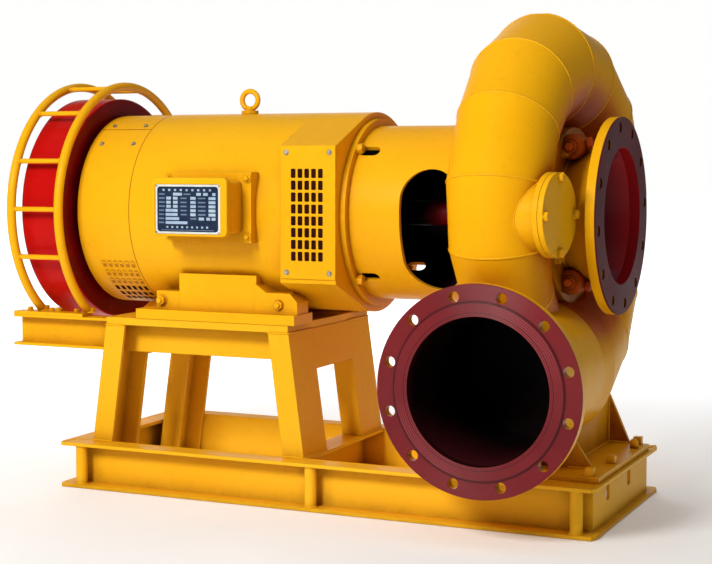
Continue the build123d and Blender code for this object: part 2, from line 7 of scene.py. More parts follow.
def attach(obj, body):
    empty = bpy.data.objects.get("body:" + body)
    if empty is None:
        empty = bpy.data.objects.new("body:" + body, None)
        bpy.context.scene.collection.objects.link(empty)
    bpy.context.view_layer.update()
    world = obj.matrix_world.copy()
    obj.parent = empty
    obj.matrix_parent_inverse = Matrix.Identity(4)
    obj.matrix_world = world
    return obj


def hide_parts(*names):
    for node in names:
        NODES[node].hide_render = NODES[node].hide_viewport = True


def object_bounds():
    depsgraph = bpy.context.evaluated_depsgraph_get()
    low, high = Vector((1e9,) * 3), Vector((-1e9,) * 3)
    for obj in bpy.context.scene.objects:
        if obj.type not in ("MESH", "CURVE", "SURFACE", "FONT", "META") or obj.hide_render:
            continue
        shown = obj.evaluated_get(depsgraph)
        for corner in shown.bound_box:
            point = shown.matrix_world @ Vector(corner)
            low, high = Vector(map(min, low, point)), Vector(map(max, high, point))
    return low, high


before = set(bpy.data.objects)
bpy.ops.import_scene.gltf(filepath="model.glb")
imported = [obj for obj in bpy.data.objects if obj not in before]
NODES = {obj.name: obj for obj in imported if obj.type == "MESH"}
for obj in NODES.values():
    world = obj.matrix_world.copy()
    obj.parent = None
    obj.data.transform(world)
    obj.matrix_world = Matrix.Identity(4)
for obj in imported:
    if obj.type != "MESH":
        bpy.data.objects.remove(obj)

# Horizontal hydroelectric set.  Positions below are millimetres in the model's frame:
# +X along the shaft towards the draft flange, +Z up, floor at z = 0.
cad_lo, cad_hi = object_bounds()
MM = 0.001
pi, sin, cos, rad = math.pi, math.sin, math.cos, math.radians
rng = random.Random(7)

SZ = 677.0
GEN_R = 240.0
SP_X, SP_IN, IN_Z, IN_Y = 480.0, 184.5, 330.0, -468.0
FL_R, PCD_R, BORE_R = 222.5, 200.0, 154.5
DRAFT_X = 657.0


# ------------------------------------------------------------------ materials
def rgb(r, g, b):
    f = lambda c: (c / 255.0 / 12.92) if c / 255.0 <= 0.04045 else ((c / 255.0 + 0.055) / 1.055) ** 2.4
    return (f(r), f(g), f(b), 1.0)


class Nodes:
    """Small helper to wire a material."""
    def __init__(self, name):
        self.m = bpy.data.materials.new(name)
        self.m.use_nodes = True
        self.t = self.m.node_tree
        self.t.nodes.clear()
        self.out = self.n("ShaderNodeOutputMaterial")
        self.b = self.n("ShaderNodeBsdfPrincipled")
        self.l(self.b.outputs[0], self.out.inputs[0])
        self.tc = self.n("ShaderNodeTexCoord")

    def n(self, kind, **kw):
        x = self.t.nodes.new(kind)
        for k, v in kw.items():
            setattr(x, k, v)
        return x

    def l(self, a, b):
        self.t.links.new(a, b)

    def noise(self, scale, detail=4.0, rough=0.55, stretch=None, dist=0.0):
        x = self.n("ShaderNodeTexNoise")
        x.inputs["Scale"].default_value = scale
        x.inputs["Detail"].default_value = detail
        x.inputs["Roughness"].default_value = rough
        x.inputs["Distortion"].default_value = dist
        if stretch:
            mp = self.n("ShaderNodeMapping")
            mp.inputs["Scale"].default_value = stretch
            self.l(self.tc.outputs["Object"], mp.inputs[0])
            self.l(mp.outputs[0], x.inputs["Vector"])
        else:
            self.l(self.tc.outputs["Object"], x.inputs["Vector"])
        return x.outputs[0]

    def ramp(self, fac, stops):
        x = self.n("ShaderNodeValToRGB")
        r = x.color_ramp
        while len(r.elements) < len(stops):
            r.elements.new(0.5)
        for e, (p, c) in zip(r.elements, stops):
            e.position = p
            e.color = c if len(c) == 4 else (*c, 1.0)
        self.l(fac, x.inputs[0])
        return x.outputs[0]

    def grey(self, fac, lo, hi, a=0.0, b=1.0):
        """fac from lo..hi mapped to a..b, clamped"""
        x = self.n("ShaderNodeMapRange")
        x.inputs[1].default_value, x.inputs[2].default_value = lo, hi
        x.inputs[3].default_value, x.inputs[4].default_value = a, b
        self.l(fac, x.inputs[0])
        return x.outputs[0]

    def mix(self, fac, a, b, mode="MIX"):
        x = self.n("ShaderNodeMix", data_type="RGBA", blend_type=mode)
        for sock, v in ((x.inputs[0], fac), (x.inputs[6], a), (x.inputs[7], b)):
            if hasattr(v, "node"):
                self.l(v, sock)
            else:
                sock.default_value = v
        return x.outputs[2]

    def math(self, op, a, b=0.0, clamp=False):
        x = self.n("ShaderNodeMath", operation=op, use_clamp=clamp)
        for sock, v in ((x.inputs[0], a), (x.inputs[1], b)):
            if hasattr(v, "node"):
                self.l(v, sock)
            else:
                sock.default_value = v
        return x.outputs[0]

    def xyz(self):
        x = self.n("ShaderNodeSeparateXYZ")
        self.l(self.tc.outputs["Object"], x.inputs[0])
        return x.outputs

    def radius(self, axis, c0, c1):
        """distance from an axis line, metres"""
        o = self.xyz()
        i, j = {"x": (1, 2), "y": (0, 2), "z": (0, 1)}[axis]
        a = self.math("SUBTRACT", o[i], c0)
        b = self.math("SUBTRACT", o[j], c1)
        return self.math("SQRT", self.math("ADD", self.math("MULTIPLY", a, a), self.math("MULTIPLY", b, b)))

    def crevice(self, dist=0.05, samples=6):
        x = self.n("ShaderNodeAmbientOcclusion", samples=samples)
        x.inputs["Distance"].default_value = dist
        return x.outputs["AO"]

    def soft(self, radius=0.003, samples=4):
        x = self.n("ShaderNodeBevel", samples=samples)
        x.inputs[0].default_value = radius
        return x.outputs[0]

    def bump(self, height, strength, dist, normal=None):
        x = self.n("ShaderNodeBump")
        x.inputs["Strength"].default_value = strength
        x.inputs["Distance"].default_value = dist
        self.l(height, x.inputs["Height"])
        if normal is not None:
            self.l(normal, x.inputs["Normal"])
        return x.outputs[0]

    def edge(self, normal):
        """0 on flats, up to 1 along rounded edges"""
        g = self.n("ShaderNodeNewGeometry")
        d = self.n("ShaderNodeVectorMath", operation="DOT_PRODUCT")
        self.l(normal, d.inputs[0])
        self.l(g.outputs["Normal"], d.inputs[1])
        return self.grey(d.outputs["Value"], 0.995, 0.86)


def paint(name, light, base, dark, rough=(0.28, 0.40), soft=0.003, peel=0.05, extra=None, crev=0.045, crevice_shade=1.0, coat=0.04,
          scale=2.2, fine_amt=0.12, spec=0.07):
    """Sprayed enamel: soft cloudy tone, fine dark specks of dust, painted shade darkening the crevices (broken up by
    noise), a painted highlight lightening the rounded edges, slight orange peel.
    """
    k = Nodes(name)
    cloud = k.noise(scale, 4.0, 0.5)
    fine = k.noise(46.0, 5.0, 0.6)
    col = k.mix(k.grey(cloud, 0.30, 0.70), base, light)
    col = k.mix(k.grey(fine, 0.56, 0.80, 0.0, fine_amt), col, dark)
    # painted shade: crevices found by ambient occlusion are darkened towards the dark colour
    ao = k.crevice(crev)
    crevice_shade_mask = k.math("MULTIPLY", k.grey(ao, 0.88, 0.25), k.grey(k.noise(17.0, 4.0, 0.6), 0.25, 0.7, 0.55, 1.0), True)
    col = k.mix(k.math("MULTIPLY", crevice_shade_mask, 0.8 * crevice_shade, True), col, dark)
    nrm = k.soft(soft)
    # painted highlight: rounded edges found by the bevel normal are lightened towards the light colour
    col = k.mix(k.math("MULTIPLY", k.edge(nrm), 0.35, True), col, light)
    if extra:
        col = extra(k, col)
    k.l(col, k.b.inputs["Base Color"])
    k.l(k.grey(k.noise(24.0, 4.0, 0.6), 0.3, 0.7, rough[0], rough[1]), k.b.inputs["Roughness"])
    k.b.inputs["Coat Weight"].default_value = coat
    k.b.inputs["Coat Roughness"].default_value = 0.16
    k.b.inputs["Specular IOR Level"].default_value = spec
    h = k.math("ADD", k.math("MULTIPLY", k.noise(260.0, 2.0, 0.5), 0.3), k.noise(22.0, 3.0, 0.5))
    k.l(k.bump(h, peel, 0.0012, nrm), k.b.inputs["Normal"])
    return k.m


Y_L, Y_B, Y_D = rgb(244, 179, 20), rgb(235, 168, 14), rgb(122, 52, 4)
SHADE = rgb(150, 60, 8)


def spiral_extra(k, col):
    """painted shade: the blind end of the inlet bore is painted nearly black; the inner side of the loop towards the
    draft end is painted reddish brown, partly a thin coat over primer and partly painted shade where it is occluded and
    turned from the light
    """
    r = k.radius("y", SP_X * MM, IN_Z * MM)
    end = k.math("MULTIPLY", k.grey(r, 0.1590, 0.1560), k.grey(k.xyz()[1], -0.080, -0.084), True)
    g = k.n("ShaderNodeNewGeometry")
    nx = k.n("ShaderNodeSeparateXYZ")
    k.l(g.outputs["Normal"], nx.inputs[0])
    o = k.xyz()
    rr = k.radius("x", 0.0, SZ * MM)
    ny = k.math("MULTIPLY", nx.outputs[1], o[1])
    nz = k.math("MULTIPLY", nx.outputs[2], k.math("SUBTRACT", o[2], SZ * MM))
    inward = k.math("DIVIDE", k.math("ADD", ny, nz), rr)
    shaded_side = k.math("SUBTRACT", k.math("MULTIPLY", nx.outputs[0], 0.85), k.math("MULTIPLY", inward, 0.75))
    # reddish brown on the inner side of the loop: partly a thin coat over primer, partly painted shade where occluded
    # and turned from the light
    thin_coat_and_shade = k.math("MULTIPLY", k.grey(k.crevice(0.34, 4), 0.98, 0.70), k.grey(shaded_side, 0.12, 0.80), True)
    thin_coat_and_shade = k.math("MULTIPLY", thin_coat_and_shade, k.grey(o[0], 0.455, 0.50), True)
    thin_coat_and_shade = k.math("MULTIPLY", thin_coat_and_shade, k.grey(rr, 0.41, 0.31), True)
    col = k.mix(k.math("MULTIPLY", thin_coat_and_shade, 0.95, True), col, k.mix(k.grey(k.noise(8.0, 4.0), 0.35, 0.65), rgb(176, 74, 8), rgb(200, 94, 12)))
    return k.mix(end, col, rgb(14, 4, 4))


yellow = paint("yellow_enamel", Y_L, Y_B, Y_D)
yellow_spiral = paint("yellow_enamel_spiral", rgb(245, 178, 19), rgb(236, 167, 11), SHADE, peel=0.10, coat=0.0, spec=0.035, extra=spiral_extra, crev=0.10,
                      crevice_shade=1.1)
yellow_base = paint("yellow_enamel_base", rgb(245, 186, 40), rgb(236, 174, 26), rgb(104, 46, 4), crevice_shade=1.0, fine_amt=0.10,
                    spec=0.04, coat=0.0)
# painted shade: strong darkening in the recesses of the turbine support
yellow_support = paint("yellow_enamel_support", rgb(242, 176, 24), rgb(232, 162, 14), rgb(136, 50, 6), crevice_shade=1.3, crev=0.20, spec=0.03, coat=0.0)
orange = paint("orange_fitting", rgb(226, 116, 40), rgb(204, 88, 22), rgb(96, 34, 6), soft=0.001, crev=0.01)


def housing_extra(k, col):
    """painted shade: the face that closes the lantern is painted nearly black inside"""
    o = k.xyz()
    m = k.math("MULTIPLY", k.grey(o[0], 0.0572, 0.0578), k.grey(k.radius("x", 0.0, SZ * MM), 0.1956, 0.1946), True)
    return k.mix(m, col, rgb(26, 9, 9))


yellow_housing = paint("yellow_enamel_housing", Y_L, Y_B, Y_D, extra=housing_extra)


def flywheel_extra(k, col):
    r = k.radius("x", 0.0, SZ * MM)
    face = k.mix(k.grey(k.noise(9.0, 5.0, 0.6), 0.3, 0.7), rgb(104, 6, 8), rgb(138, 9, 10))
    return k.mix(k.grey(r, 0.2805, 0.2785), col, face)


red_wheel = paint("red_enamel_wheel", rgb(196, 14, 10), rgb(176, 7, 6), rgb(84, 4, 6), extra=flywheel_extra, coat=0.08)
dark_red = paint("dark_red_enamel", rgb(120, 16, 22), rgb(88, 8, 16), rgb(30, 3, 8))
hub_red = paint("hub_red", rgb(132, 20, 22), rgb(98, 10, 14), rgb(30, 3, 6))


def rings_mat(name, axis, c0, c1, plane_axis, plane_at, sign, face_l, face_b, face_d, side_l, side_b, side_d, inner_r=None,
              inner=None, ridge=0.0014, strength=0.30, line_r=None, spec=0.14, clear=0.10):
    """Flange: turned face with concentric tool marks, painted edge and back."""
    k = Nodes(name)
    r = k.radius(axis, c0, c1)
    o = k.xyz()[{"x": 0, "y": 1, "z": 2}[plane_axis]]
    d = k.math("MULTIPLY", k.math("SUBTRACT", o, plane_at), sign)
    on_face = k.grey(d, -0.0042, -0.0034)
    wob = k.math("MULTIPLY", k.noise(3.0, 2.0), 0.0015)
    wave = k.math("SINE", k.math("MULTIPLY", k.math("ADD", r, wob), 2 * pi / ridge))
    face = k.mix(k.grey(k.noise(6.0, 5.0, 0.6), 0.3, 0.7), face_b, face_l)
    face = k.mix(k.grey(wave, -0.2, 1.0, 0.0, 0.35), face, face_d)
    side = k.mix(k.grey(k.noise(7.0, 5.0, 0.6), 0.3, 0.7), side_b, side_l)
    ao = k.crevice(0.03)
    # painted shade in the corners of the painted edge
    side = k.mix(k.math("MULTIPLY", k.grey(ao, 0.92, 0.3), 0.8), side, side_d)
    if line_r is not None:
        # dark edge of the raised ring, and a few turned bands inside it that get a painted highlight
        d_line = k.math("ABSOLUTE", k.math("SUBTRACT", r, line_r))
        face = k.mix(k.grey(d_line, 0.0022, 0.0012, 0.0, 0.75), face, face_d)
        inside = k.grey(r, line_r - 0.002, line_r - 0.003)
        marks = k.grey(k.math("SINE", k.math("MULTIPLY", r, 2 * pi / 0.0047)), 0.62, 0.97, 0.0, 0.22)
        o3 = k.xyz()
        # painted highlight: the turned bands are lightened on the upper right and the lower left
        diag = k.math("MULTIPLY", k.math("SUBTRACT", o3[{"y": 0, "x": 1}[axis]], c0), k.math("SUBTRACT", o3[2], c1))
        band_highlight = k.grey(diag, 0.004, 0.014, 0.10, 1.0)
        face = k.mix(k.math("MULTIPLY", k.math("MULTIPLY", inside, marks), band_highlight), face, rgb(206, 150, 160))
        lip = k.math("ABSOLUTE", k.math("SUBTRACT", r, 0.1625))
        face = k.mix(k.grey(lip, 0.0016, 0.0006, 0.0, 0.6), face, face_d)
    if inner is not None:
        face = k.mix(k.grey(r, inner_r + 0.0002, inner_r - 0.0002), face, inner)
        side = k.mix(k.grey(r, inner_r + 0.0002, inner_r - 0.0002), side, inner)
    # painted shade where the face meets other parts
    face = k.mix(k.math("MULTIPLY", k.grey(ao, 0.95, 0.4), 0.7), face, face_d)
    k.l(k.mix(on_face, side, face), k.b.inputs["Base Color"])
    k.l(k.grey(on_face, 0.0, 1.0, 0.34, 0.30), k.b.inputs["Roughness"])
    k.b.inputs["Coat Weight"].default_value = clear
    k.b.inputs["Coat Roughness"].default_value = 0.14
    k.b.inputs["Specular IOR Level"].default_value = spec
    h = k.math("MULTIPLY", wave, on_face)
    h2 = k.math("ADD", h, k.math("MULTIPLY", k.noise(40.0, 4.0), 0.8))
    k.l(k.bump(h2, strength, 0.0006, k.soft(0.0025)), k.b.inputs["Normal"])
    return k.m


inlet_face = rings_mat("inlet_flange_finish", "y", SP_X * MM, IN_Z * MM, "y", IN_Y * MM, -1.0, rgb(124, 30, 34), rgb(110, 22, 28),
                       rgb(46, 6, 11), Y_L, Y_B, Y_D, inner_r=0.1548, inner=rgb(48, 11, 13), line_r=0.184)
draft_face = rings_mat("draft_flange_finish", "x", 0.0, SZ * MM, "x", DRAFT_X * MM, 1.0, rgb(108, 42, 48), rgb(86, 28, 34),
                       rgb(36, 8, 16), Y_L, Y_B, Y_D, inner_r=0.1548, inner=rgb(156, 24, 28), spec=0.02, clear=0.0)


def bore_extra(k, col):
    """outside yellow; the bore is dark maroon, with painted shade going black deeper in and painted light making the
    lower wall lighter
    """
    r = k.radius("y", SP_X * MM, IN_Z * MM)
    y = k.xyz()[1]
    # painted light: the lower wall of the bore is made lighter
    low = k.grey(k.xyz()[2], 0.30, 0.19)
    bore_shade = k.mix(k.grey(y, -0.44, -0.20), k.mix(low, rgb(26, 7, 8), rgb(66, 20, 24)), rgb(10, 3, 3))
    return k.mix(k.grey(r, 0.1580, 0.1570), col, bore_shade)


inlet_paint = paint("inlet_pipe_finish", Y_L, Y_B, Y_D, extra=bore_extra)


def cone_extra(k, col):
    """outside yellow; the tapered bore is red, with painted shade turning it dark purple deeper in, and on the near
    side a painted-shade dark purple wall with painted pale highlight spots
    """
    o = k.xyz()
    r = k.radius("x", 0.0, SZ * MM)
    wall = k.math("MULTIPLY", k.math("SUBTRACT", o[0], 0.545), 0.03775 / 0.088)
    bore = k.math("SUBTRACT", k.math("SUBTRACT", r, 0.1222), wall)
    inner = k.mix(k.grey(o[0], 0.56, 0.63), rgb(62, 18, 28), rgb(158, 26, 28))
    # painted shade with painted highlight spots on the near wall of the bore
    inner = k.mix(k.grey(o[1], 0.02, 0.09, 0.9, 0.0), inner, k.mix(k.grey(k.noise(18.0, 4.0, 0.6), 0.52, 0.70), rgb(58, 30, 42), rgb(112, 98, 120)))
    return k.mix(k.grey(bore, 0.0, -0.0014), col, inner)


def throat_extra(k, col):
    """casing drum and draft cover: the water side is dark"""
    r = k.radius("x", 0.0, SZ * MM)
    m = k.math("MULTIPLY", k.grey(r, 0.1596, 0.1586), k.grey(k.xyz()[0], 0.5445, 0.5438), True)
    n = k.grey(r, 0.1190, 0.1183)
    return k.mix(k.math("MAXIMUM", m, n), col, rgb(44, 12, 18))


cone_paint = paint("draft_cone_finish", Y_L, Y_B, SHADE, extra=cone_extra, crev=0.06, crevice_shade=0.9)
# painted shade: strong darkening in the recess between the spiral case and the draft cover
throat_paint = paint("draft_cover_finish", Y_L, Y_B, rgb(138, 54, 8), extra=throat_extra, crev=0.16, crevice_shade=1.25)
tee_paint = paint("fitting_shaded_paint", rgb(206, 106, 20), rgb(182, 84, 14), rgb(96, 34, 8), soft=0.001, crev=0.05, crevice_shade=1.2)


def lantern_extra(k, col):
    r = k.radius("x", 0.0, SZ * MM)
    o = k.xyz()
    # painted shade: the inside of the lantern is painted nearly black; painted light: its lower wall towards the window
    # is painted a lit pinkish purple
    low = k.math("MULTIPLY", k.grey(o[2], 0.57, 0.50), k.grey(o[0], 0.19, 0.30), True)
    inside = k.mix(low, rgb(14, 5, 5), rgb(158, 96, 118))
    return k.mix(k.grey(r, 0.1964, 0.1956), col, inside)


lantern_paint = paint("lantern_finish", Y_L, Y_B, Y_D, extra=lantern_extra)


def metal(name, light, base, rough=0.35, scale=60.0, rust=0.0):
    k = Nodes(name)
    n = k.noise(scale, 4.0, 0.6, stretch=(1.0, 6.0, 1.0))
    col = k.mix(k.grey(n, 0.35, 0.65), base, light)
    if rust:
        col = k.mix(k.math("MULTIPLY", k.grey(k.noise(22.0, 6.0, 0.7), 0.5, 0.66), rust), col, rgb(112, 62, 34))
    # painted shade: crevices found by ambient occlusion are darkened
    col = k.mix(k.grey(k.crevice(0.012), 0.9, 0.4, 0.0, 0.7), col, rgb(40, 30, 24))
    k.l(col, k.b.inputs["Base Color"])
    k.b.inputs["Metallic"].default_value = 0.9
    k.l(k.grey(k.noise(40.0), 0.3, 0.7, rough - 0.08, rough + 0.12), k.b.inputs["Roughness"])
    k.l(k.bump(n, 0.1, 0.0005, k.soft(0.0012)), k.b.inputs["Normal"])
    return k.m


steel = metal("bare_steel_finish", rgb(200, 198, 192), rgb(150, 148, 144), rust=0.25)
zinc = metal("zinc_screw", rgb(214, 210, 196), rgb(168, 160, 140))


def shaft_finish():
    """turned steel towards the flywheel, dark red paint inside the lantern"""
    k = Nodes("shaft_finish")
    n = k.noise(60.0, 4.0, 0.6, stretch=(6.0, 1.0, 1.0))
    st = k.mix(k.grey(n, 0.35, 0.65), rgb(150, 148, 144), rgb(204, 200, 194))
    red = k.mix(k.grey(k.noise(14.0, 4.0), 0.35, 0.65), rgb(104, 10, 14), rgb(140, 20, 24))
    # painted shade: the red goes nearly black towards the generator, deep inside the lantern
    red = k.mix(k.grey(k.xyz()[0], 0.185, 0.235), rgb(12, 3, 3), red)
    m = k.grey(k.xyz()[0], 0.05, 0.052)
    k.l(k.mix(m, st, red), k.b.inputs["Base Color"])
    k.l(k.grey(m, 0.0, 1.0, 0.9, 0.0), k.b.inputs["Metallic"])
    k.b.inputs["Specular IOR Level"].default_value = 0.15
    k.l(k.grey(k.noise(40.0), 0.3, 0.7, 0.28, 0.45), k.b.inputs["Roughness"])
    k.l(k.bump(n, 0.1, 0.0005, k.soft(0.0012)), k.b.inputs["Normal"])
    return k.m


shaft_mat = shaft_finish()


def plain(name, a, b, rough=0.6, scale=20.0, metallic=0.0, bump=0.1, spec=0.08):
    k = Nodes(name)
    n = k.noise(scale, 5.0, 0.65)
    k.l(k.mix(k.grey(n, 0.35, 0.65), a, b), k.b.inputs["Base Color"])
    k.l(k.grey(k.noise(scale * 1.7), 0.3, 0.7, rough - 0.08, rough + 0.08), k.b.inputs["Roughness"])
    k.b.inputs["Metallic"].default_value = metallic
    k.b.inputs["Specular IOR Level"].default_value = spec
    k.l(k.bump(n, bump, 0.0005, k.soft(0.0008)), k.b.inputs["Normal"])
    return k.m


black = plain("dark_recess", rgb(12, 7, 4), rgb(26, 15, 8), 0.85)
slot_wall_shade = plain("slot_wall_painted_shade", rgb(60, 22, 6), rgb(84, 34, 8), 0.7)
opening_back_shade = plain("opening_back_painted_shade", rgb(176, 104, 22), rgb(206, 128, 30), 0.6)
shade_backing_and_rubber = plain("maroon_shade_and_rubber", rgb(36, 8, 5), rgb(54, 14, 7), 0.8)
blue = plain("plate_blue", rgb(28, 38, 58), rgb(38, 52, 76), 0.34)
cell = plain("plate_cells", rgb(146, 168, 192), rgb(176, 194, 210), 0.4)
cell_dim = plain("plate_dim_cells", rgb(92, 110, 134), rgb(112, 130, 152), 0.4)
plate_edge = plain("plate_border", rgb(214, 220, 214), rgb(236, 236, 224), 0.36, metallic=0.3)
weld = paint("weld_bead_paint", rgb(246, 182, 24), rgb(236, 169, 15), rgb(134, 60, 6), peel=0.3, soft=0.0006, crev=0.008, crevice_shade=0.6)
groove = plain("joint_shadow", rgb(150, 84, 10), rgb(182, 108, 14), 0.6)


# ------------------------------------------------------------------ mesh helper
def fr(o, n, x=None):
    """local frame with +Z along n at o"""
    z = Vector(n).normalized()
    if x is None:
        x = Vector((0, 0, 1)) if abs(z.z) < 0.9 else Vector((1, 0, 0))
    x = Vector(x)
    x = (x - z * x.dot(z)).normalized()
    y = z.cross(x)
    return Matrix(((x.x, y.x, z.x, o[0]), (x.y, y.y, z.y, o[1]), (x.z, y.z, z.z, o[2]), (0, 0, 0, 1)))


def ring(n, r, z, ph=0.0):
    return [(r * cos(ph + 2 * pi * i / n), r * sin(ph + 2 * pi * i / n), z) for i in range(n)]


def hexa(n, af, z):
    out = []
    for i in range(n):
        a = 2 * pi * i / n
        t = (a % (pi / 3)) - pi / 6
        r = af / 2 / cos(t)
        out.append((r * cos(a), r * sin(a), z))
    return out


def rect(w, h, r, z, n=4):
    """rounded rectangle, counter-clockwise"""
    out = []
    for cx, cy, a0 in ((w / 2 - r, h / 2 - r, 0), (-w / 2 + r, h / 2 - r, 90), (-w / 2 + r, -h / 2 + r, 180), (w / 2 - r, -h / 2 + r, 270)):
        for i in range(n + 1):
            a = rad(a0 + 90 * i / n)
            out.append((cx + r * cos(a), cy + r * sin(a), z))
    return out


class Piece:
    def __init__(self, name, body="frame", slot=None):
        self.name, self.body, self.slot = name, body, slot
        self.v, self.f, self.fm, self.fs, self.mats = [], [], [], [], []

    def add(self, verts, faces, mat, mtx=None, smooth=False):
        if mat not in self.mats:
            self.mats.append(mat)
        i = self.mats.index(mat)
        o = len(self.v)
        for p in verts:
            p = Vector(p)
            if mtx is not None:
                p = mtx @ p
            self.v.append(p * MM)
        for f in faces:
            self.f.append([o + k for k in f])
            self.fm.append(i)
            self.fs.append(smooth)

    def loft(self, rings, mat, mtx=None, smooth=False, cap0=True, cap1=True, closed=False):
        n = len(rings[0])
        verts = [p for r in rings for p in r]
        faces = []
        m = len(rings)
        for a in range(m if closed else m - 1):
            b = (a + 1) % m
            for i in range(n):
                j = (i + 1) % n
                faces.append((a * n + i, a * n + j, b * n + j, b * n + i))
        self.add(verts, faces, mat, mtx, smooth)
        if not closed:
            caps = []
            if cap0:
                caps.append(tuple(reversed(range(n))))
            if cap1:
                caps.append(tuple(range((m - 1) * n, m * n)))
            if caps:
                o = len(self.v) - len(verts)
                i = self.mats.index(mat)
                for f in caps:
                    self.f.append([o + k for k in f])
                    self.fm.append(i)
                    self.fs.append(False)

    def box(self, w, d, h, mat, mtx, ch=0.6):
        """box standing on local z = 0, chamfered top edges"""
        q = lambda a, b, z: [(a / 2, b / 2, z), (-a / 2, b / 2, z), (-a / 2, -b / 2, z), (a / 2, -b / 2, z)]
        self.loft([q(w, d, 0), q(w, d, h - ch), q(w - 2 * ch, d - 2 * ch, h)], mat, mtx)

    def cyl(self, r, h, mat, mtx, n=24, ch=0.5, z0=0.0):
        self.loft([ring(n, r, z0), ring(n, r, z0 + h - ch), ring(n, r - ch, z0 + h)], mat, mtx, smooth=False)

    def bolt(self, mtx, af, h, mat, washer=None, stud=False):
        z = 0.0
        if washer:
            self.cyl(washer[0], washer[1], mat, mtx, 20, 0.3)
            z = washer[1]
        self.loft([hexa(24, af, z), hexa(24, af, z + h * 0.8), ring(24, af * 0.47, z + h)], mat, mtx)
        if stud:
            self.cyl(af * 0.28, h * 0.45, mat, mtx, 16, 0.6, z + h)

    def cap_screw(self, mtx, r, h, mat, hole=None):
        n = 24
        self.loft([ring(n, r, 0), ring(n, r, h - 0.6), ring(n, r - 0.6, h), hexa(n, r * 1.0, h)], mat, mtx, cap1=False)
        self.loft([hexa(n, r * 1.0, h), hexa(n, r * 1.0, h * 0.45)], hole or black, mtx, cap0=False)

    def tube(self, pts, r, mat, n=8, closed=False, mtx=None, smooth=True):
        pts = [Vector(p) for p in pts]
        m = len(pts)
        rings = []
        up = None
        for i, p in enumerate(pts):
            a = pts[i - 1] if (i or closed) else p
            b = pts[(i + 1) % m] if (i < m - 1 or closed) else p
            t = (b - a).normalized()
            if up is None:
                up = Vector((0, 0, 1)) if abs(t.z) < 0.9 else Vector((1, 0, 0))
            up = (up - t * up.dot(t)).normalized()
            s = t.cross(up)
            rr = r[i] if isinstance(r, (list, tuple)) else r
            rings.append([tuple(p + (up * cos(2 * pi * k / n) + s * sin(2 * pi * k / n)) * rr) for k in range(n)])
        self.loft(rings, mat, mtx, smooth=smooth, closed=closed)

    def done(self):
        me = bpy.data.meshes.new(self.name)
        lim = lambda p: tuple(min(max(p[i], cad_lo[i]), cad_hi[i]) for i in range(3))
        me.from_pydata([lim(p) for p in self.v], [], self.f)
        for m in self.mats:
            me.materials.append(m)
        me.polygons.foreach_set("material_index", self.fm)
        me.polygons.foreach_set("use_smooth", self.fs)
        me.update()
        o = bpy.data.objects.new(self.name, me)
        bpy.context.scene.collection.objects.link(o)
        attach(o, self.body)
        return o


def bead(piece, pts, r=3.0, mat=None, closed=False, step=4.0, flat=1.0):
    """a weld bead: a tube with a rippled radius along a line"""
    pts = [Vector(p) for p in pts]
    if closed:
        pts = pts + [pts[0]]
    fine = []
    for a, b in zip(pts[:-1], pts[1:]):
        k = max(1, int((b - a).length / step))
        fine += [a.lerp(b, i / k) for i in range(k)]
    if not closed:
        fine.append(pts[-1])
    rr = [r * (1.0 + 0.10 * sin(i * 2.4) + rng.uniform(-0.06, 0.06)) for i in range(len(fine))]
    piece.tube(fine, rr, mat or weld, n=6, closed=closed)


# ------------------------------------------------------------------ finishes of the CAD nodes
def coat(names, mat):
    for nm in names:
        me = NODES[nm].data
        me.materials.clear()
        me.materials.append(mat)


groups = {
    "base": ([n for n in NODES if n.startswith("base_") or n.startswith("stand_")], yellow_base),
    "guard": ([n for n in NODES if n.startswith("guard_")], yellow),
    "spiral": ([n for n in NODES if n.startswith("spiral_")], yellow_spiral),
}
coat(NODES.keys(), yellow)
for names, mat in groups.values():
    coat(names, mat)
coat([n for n in NODES if n.startswith("turbine_support_")], yellow_support)
coat(["flywheel"], red_wheel)
coat(["shaft"], shaft_mat)
coat(["generator_end_housing"], yellow_housing)
coat(["shaft_hub"], hub_red)
coat(["runner"], dark_red)
coat(["inlet_flange"], inlet_face)
coat(["draft_flange"], draft_face)
coat(["inlet_pipe"], inlet_paint)
coat(["draft_cone"], cone_paint)
coat(["draft_cover", "turbine_casing"], throat_paint)
coat(["lantern"], lantern_paint)
coat(["head_cover"], lantern_paint)
coat(["nameplate"], plate_edge)


# ------------------------------------------------------------------ spiral case: seams
SEAMS = [(-62, 464, 276, 92), (-37, 464, 283, 99), (-11.5, 463, 289, 108), (13.5, 465, 301, 113), (40, 464, 307, 112),
         (63, 463, 319, 117), (88, 464, 329, 127), (113, 466, 334, 132), (138, 469, 333, 140.5), (163, 471, 334, 142),
         (188, 472, 334.5, 142), (213, 474, 335.5, 143), (238, 477, 340, 147.5), (270, 480, 347, 162.5)]
GROW = 1.0 / cos(rad(12.5))
P = Piece("spiral_seam_welds", slot="yellow_paint")
for a, xs, rc, r in SEAMS[1:-1]:
    c, s = cos(rad(a)), sin(rad(a))
    pts = []
    for i in range(-100, 101):
        ph = rad(i * 1.7)
        R = rc + (r - 1.3) * GROW * cos(ph)
        x = xs + (r - 1.3) * sin(ph)
        y, z = -R * c, SZ + R * s
        inlet = math.hypot(x - SP_X, z - IN_Z) < 163.5 and y < 60
        if R > 203.0 and not inlet:
            pts.append((x, y, z))
        elif pts:
            if len(pts) > 2:
                bead(P, pts, 3.0)
            pts = []
    if len(pts) > 2:
        bead(P, pts, 3.0)

# hand hole: bolts, and the weld where the neck meets the case
HH_A = -6.0
hn = Vector((cos(rad(HH_A)), sin(rad(HH_A)), 0))
ht = Vector((-hn.y, hn.x, 0))
HO = Vector((485.2, -296.5, 688.0))


def seam_centre(q):
    a, xs, rc, r = q
    return Vector((xs, -rc * cos(rad(a)), SZ + rc * sin(rad(a)))), r


